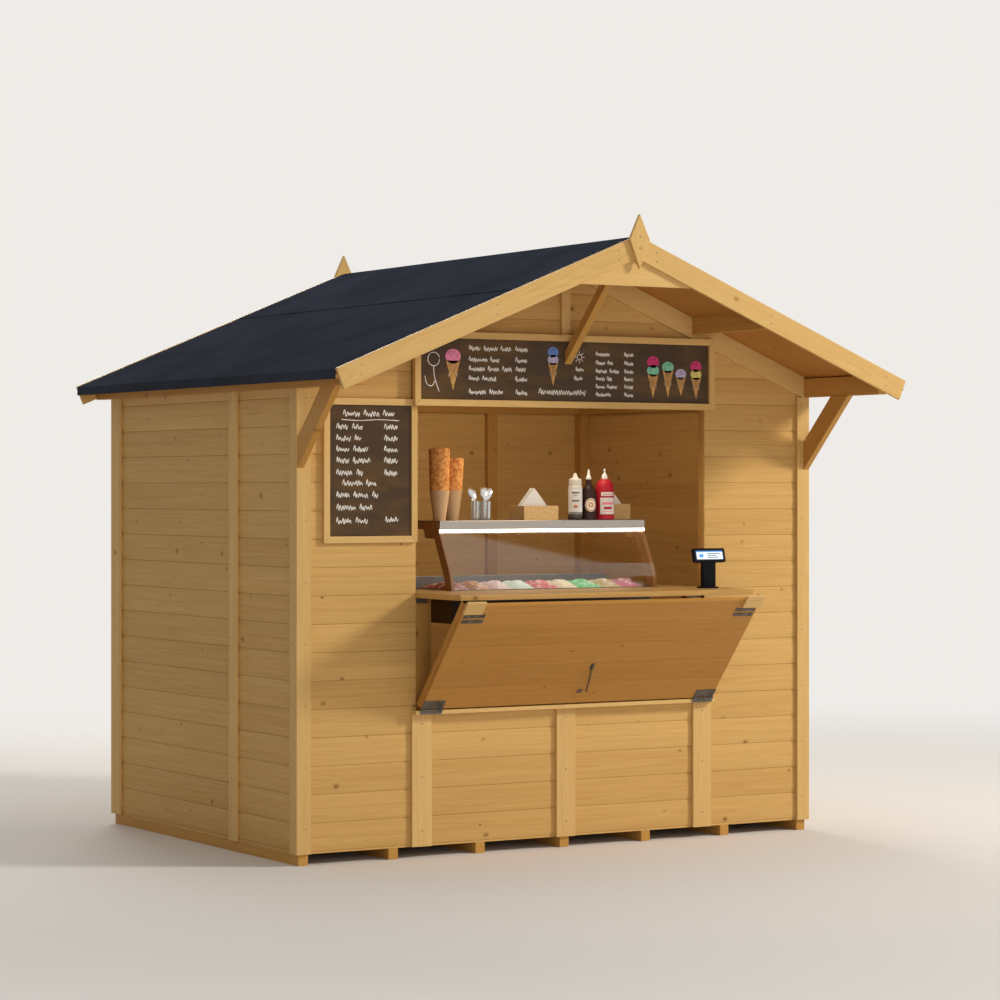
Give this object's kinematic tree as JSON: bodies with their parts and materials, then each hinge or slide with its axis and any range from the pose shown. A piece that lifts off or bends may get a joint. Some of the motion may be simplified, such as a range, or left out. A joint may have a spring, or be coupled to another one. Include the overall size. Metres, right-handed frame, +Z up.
{
  "type": "street kiosk",
  "caption": "Timber sales kiosk with a felted gable roof over a serving hatch, a chilled display case on the counter, blank sign boards and a lowered front flap.",
  "frame": {"origin": "on the ground, in the middle of the outline in plan", "axes": "+Z up, front with the serving hatch towards -Y, the seller looks along -Y, +X to the right as a customer sees it"},
  "size_m": [3.014, 2.796, 2.8642],
  "materials": {
    "black_plastic": "black plastic",
    "blackboard": "board with dark chalkboard paint",
    "bottle_plastic": "glossy sauce bottles",
    "case_glass": "clear flat glass",
    "case_wood": "brown stained hardwood, satin",
    "cladding": "planed pine cladding boards, clear satin stain",
    "clear_glass": "clear drinking glass",
    "counter": "planed pine counter, satin varnish",
    "flap_wood": "pine ply and frame, satin stain",
    "flooring": "pine floor boards, matt",
    "framing": "planed pine framing, clear satin stain",
    "ice_cream": "ice cream in steel pans",
    "kraft_card": "plain kraft cardboard",
    "lamp_cover": "white light diffuser",
    "roofing_felt": "mineral roofing felt, matt slate",
    "stainless": "brushed stainless steel",
    "trim": "planed pine trim boards, clear satin stain",
    "waffle": "baked waffle cones in clear sleeves",
    "zinc_steel": "zinc plated steel, dulled"
  },
  "bodies": {
    "hut": {"floor_bearers": "framing", "floor_deck": "flooring", "front_wall_sides": "cladding", "front_wall_lower": "cladding", "front_gable": "cladding", "left_wall": "cladding", "right_wall": "cladding", "back_wall_sides": "cladding", "back_gable": "cladding", "back_door": "cladding", "back_door_fittings": "zinc_steel", "wall_studs": "framing", "wall_plates": "framing", "corner_boards": "trim", "cover_strips": "trim", "gable_trim": "trim", "purlins": "framing", "roof_deck": "trim", "roof_felt": "roofing_felt", "eaves_battens": "framing", "bargeboards": "trim", "finials": "trim", "apex_gusset": "trim", "knee_braces": "framing", "centre_brace": "framing", "sill_board": "trim", "sill_hinges": "zinc_steel", "counter_shelf": "counter", "counter_posts": "framing", "shelf_brackets": "zinc_steel", "header_sign_frame": "trim", "header_sign_panel": "blackboard", "menu_board_frame": "trim", "menu_board_panel": "blackboard", "case_side_frames": "case_wood", "case_glass": "case_glass", "case_top": "stainless", "case_light": "lamp_cover", "case_well": "stainless", "ice_cream_pans": "ice_cream", "waffle_cones": "waffle", "spoon_glasses": "clear_glass", "spoons": "stainless", "napkin_boxes": "kraft_card", "sauce_bottles": "bottle_plastic", "card_terminal": "black_plastic"},
    "flap": {"flap_panel": "flap_wood", "flap_frame": "flap_wood", "flap_hinges": "zinc_steel", "flap_catches": "trim", "flap_fittings": "zinc_steel"}
  },
  "joints": [
    {"name": "flap_hinge", "type": "hinge", "parent": "hut", "child": "flap", "pos_m": [0, -0.825, 0.66], "axis": [1, 0, 0], "range_deg": [0, 130]}
  ]
}
